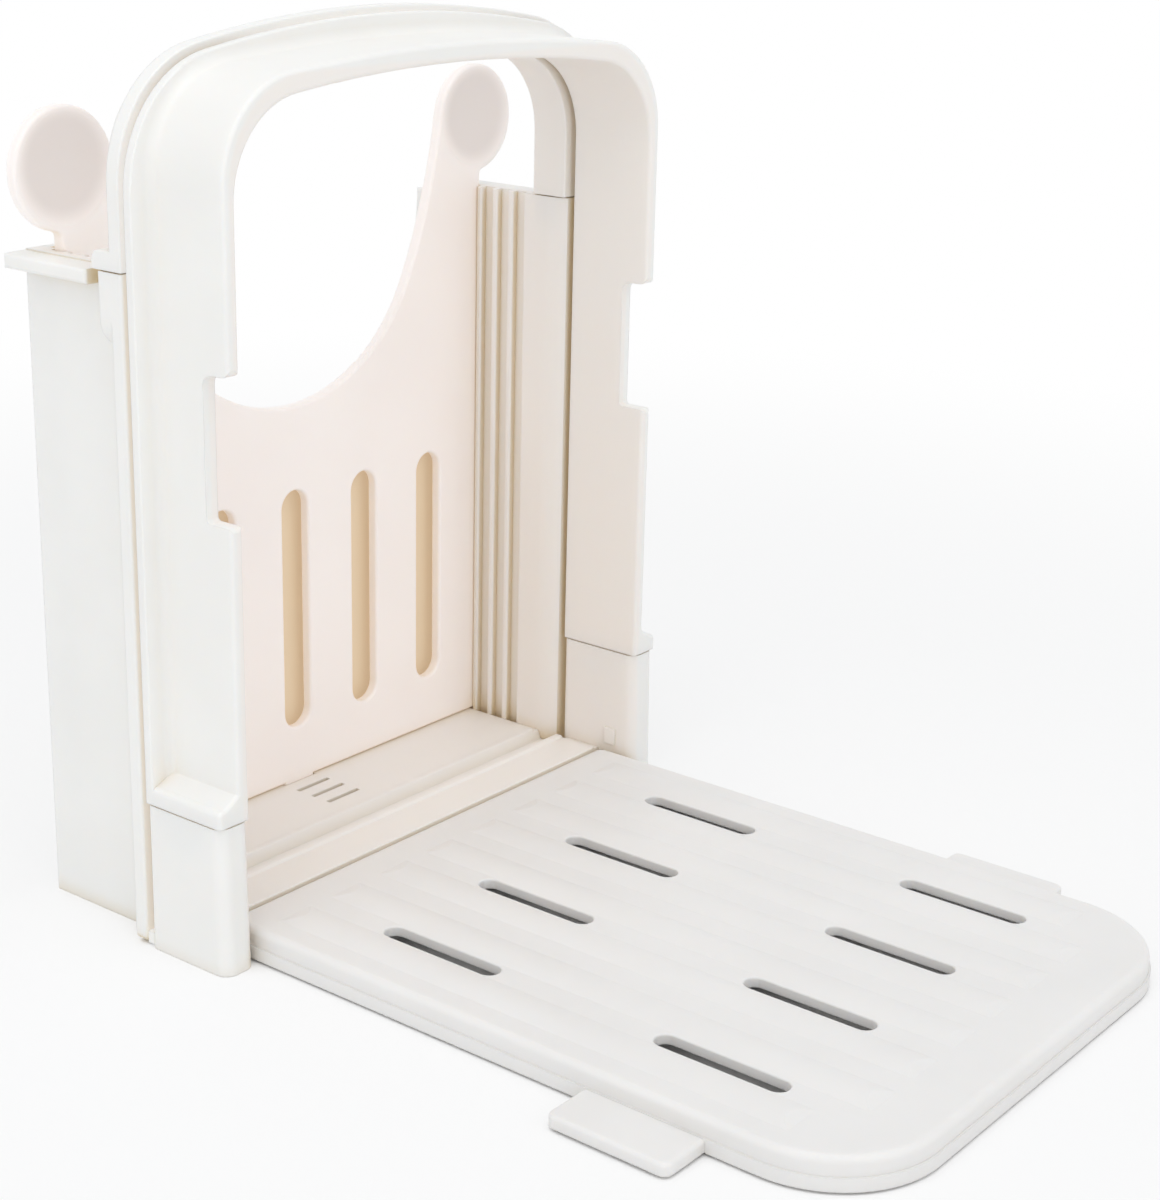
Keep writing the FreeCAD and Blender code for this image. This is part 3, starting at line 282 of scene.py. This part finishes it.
slots = {part["node"]: part["material_slot"] for part in frame["record"]["subparts"]}
for node, piece in frame["nodes"].items():
    piece.data.materials.clear()
    piece.data.materials.append(back_finish if node == "back_wall" else finishes[slots[node]])


# ---- floor and world

PURE_WHITE = {"Color": (1.0, 1.0, 1.0, 1.0), "Strength": 1.0}
FLOOR_HALF = 3.0
FLOOR_DROP = 0.02 * MM               # keeps the floor's face apart from the undersides
FLOOR_PAINT = {"Color": (0.92, 0.92, 0.92, 1.0)}
OPEN_FLOOR = (0.2, 0.6)              # metres from the middle: shaded up to one, white from the other
SHADED_FLOOR = 0.6                   # how white the shaded part is
UNDER_COVER = (12.0 * MM, 0.3, 0.48) # how near the cover is, how open below it and beside it
STUDIO_LIGHT = {"Color": (0.97, 0.985, 1.0, 1.0), "Strength": 0.69}


def make_floor():
    """A wide pale floor. It looks white where it is open, and keeps the shadow of the object."""
    shader = Shader(bpy.data.materials.new("floor_white"))
    paint = shader.node("ShaderNodeBsdfDiffuse", {}, FLOOR_PAINT)
    white = shader.node("ShaderNodeEmission", {}, PURE_WHITE)
    away = shader.vector("LENGTH", shader.place(), output="Value")
    covered = shader.shelter(*UNDER_COVER)
    whiteness = SHADED_FLOOR + (1.0 - SHADED_FLOOR) * away.step(*OPEN_FLOOR)
    share = shader.background_rays() * whiteness * (1.0 - covered)
    corners = [(-FLOOR_HALF, -FLOOR_HALF), (FLOOR_HALF, -FLOOR_HALF),
               (FLOOR_HALF, FLOOR_HALF), (-FLOOR_HALF, FLOOR_HALF)]
    mesh = bpy.data.meshes.new("floor")
    mesh.from_pydata([(x, y, -FLOOR_DROP) for x, y in corners], [], [(0, 1, 2, 3)])
    mesh.materials.append(shader.close(shader.mix_surfaces(share, paint, white)))
    floor = bpy.data.objects.new("floor", mesh)
    bpy.context.scene.collection.objects.link(floor)


def make_world():
    """Even studio light from all round, and plain white where the background shows."""
    world = bpy.data.worlds.new("studio")
    shader = Shader(world)
    light = shader.node("ShaderNodeBackground", {}, STUDIO_LIGHT)
    white = shader.node("ShaderNodeBackground", {}, PURE_WHITE)
    surface = shader.mix_surfaces(shader.background_rays(), light, white)
    bpy.context.scene.world = shader.close(surface, "ShaderNodeOutputWorld")


# ---- lamps and camera

HEART = Vector((0.0, -0.06, 0.08))
LAMP_WIDTH = 1.3
LAMPS = [                            # name, place in metres, watts
    ("left_box", (-1.299, -0.06, 0.83), 3.0),
    ("front_box", (-0.236, -1.399, 0.714), 2.9),
    ("top_box", (-0.306, -0.299, 1.529), 5.6),
]
CAMERA_PLACE = Vector((-377.28, -348.54, 232.83)) * MM
CAMERA_AZIMUTH = math.radians(-52.23)
CAMERA_ELEVATION = math.radians(18.52)
CAMERA_ROLL = math.radians(1.4)
CAMERA_LENS = 72.40


def make_lamp(name, place, power):
    """A square soft box that looks at the heart of the object."""
    light = bpy.data.lights.new(name, "AREA")
    light.shape = "SQUARE"
    light.size = LAMP_WIDTH
    light.energy = power
    lamp = bpy.data.objects.new(name, light)
    lamp.location = place
    lamp.rotation_euler = (HEART - Vector(place)).to_track_quat("-Z", "Y").to_euler()
    bpy.context.scene.collection.objects.link(lamp)


def make_camera():
    """The camera looks down over the left foot towards the stop plate."""
    level_part = math.cos(CAMERA_ELEVATION)
    forward = Vector((-math.sin(CAMERA_AZIMUTH) * level_part,
                      math.cos(CAMERA_AZIMUTH) * level_part, -math.sin(CAMERA_ELEVATION)))
    level = forward.cross(Vector((0, 0, 1))).normalized()
    upright = level.cross(forward)
    right = level * math.cos(CAMERA_ROLL) + upright * math.sin(CAMERA_ROLL)
    up = upright * math.cos(CAMERA_ROLL) - level * math.sin(CAMERA_ROLL)
    camera = bpy.data.cameras.new("camera")
    camera.sensor_fit = "HORIZONTAL"
    camera.sensor_width = 36.0
    camera.lens = CAMERA_LENS
    camera.clip_start = 0.01
    camera.clip_end = 50.0
    holder = bpy.data.objects.new("camera", camera)
    turn = Matrix((right, up, -forward)).transposed().to_4x4()
    holder.matrix_world = Matrix.Translation(CAMERA_PLACE) @ turn
    bpy.context.scene.collection.objects.link(holder)
    bpy.context.scene.camera = holder


make_floor()
make_world()
for name, place, power in LAMPS:
    make_lamp(name, place, power)
make_camera()
bpy.context.scene.view_settings.view_transform = "Standard"
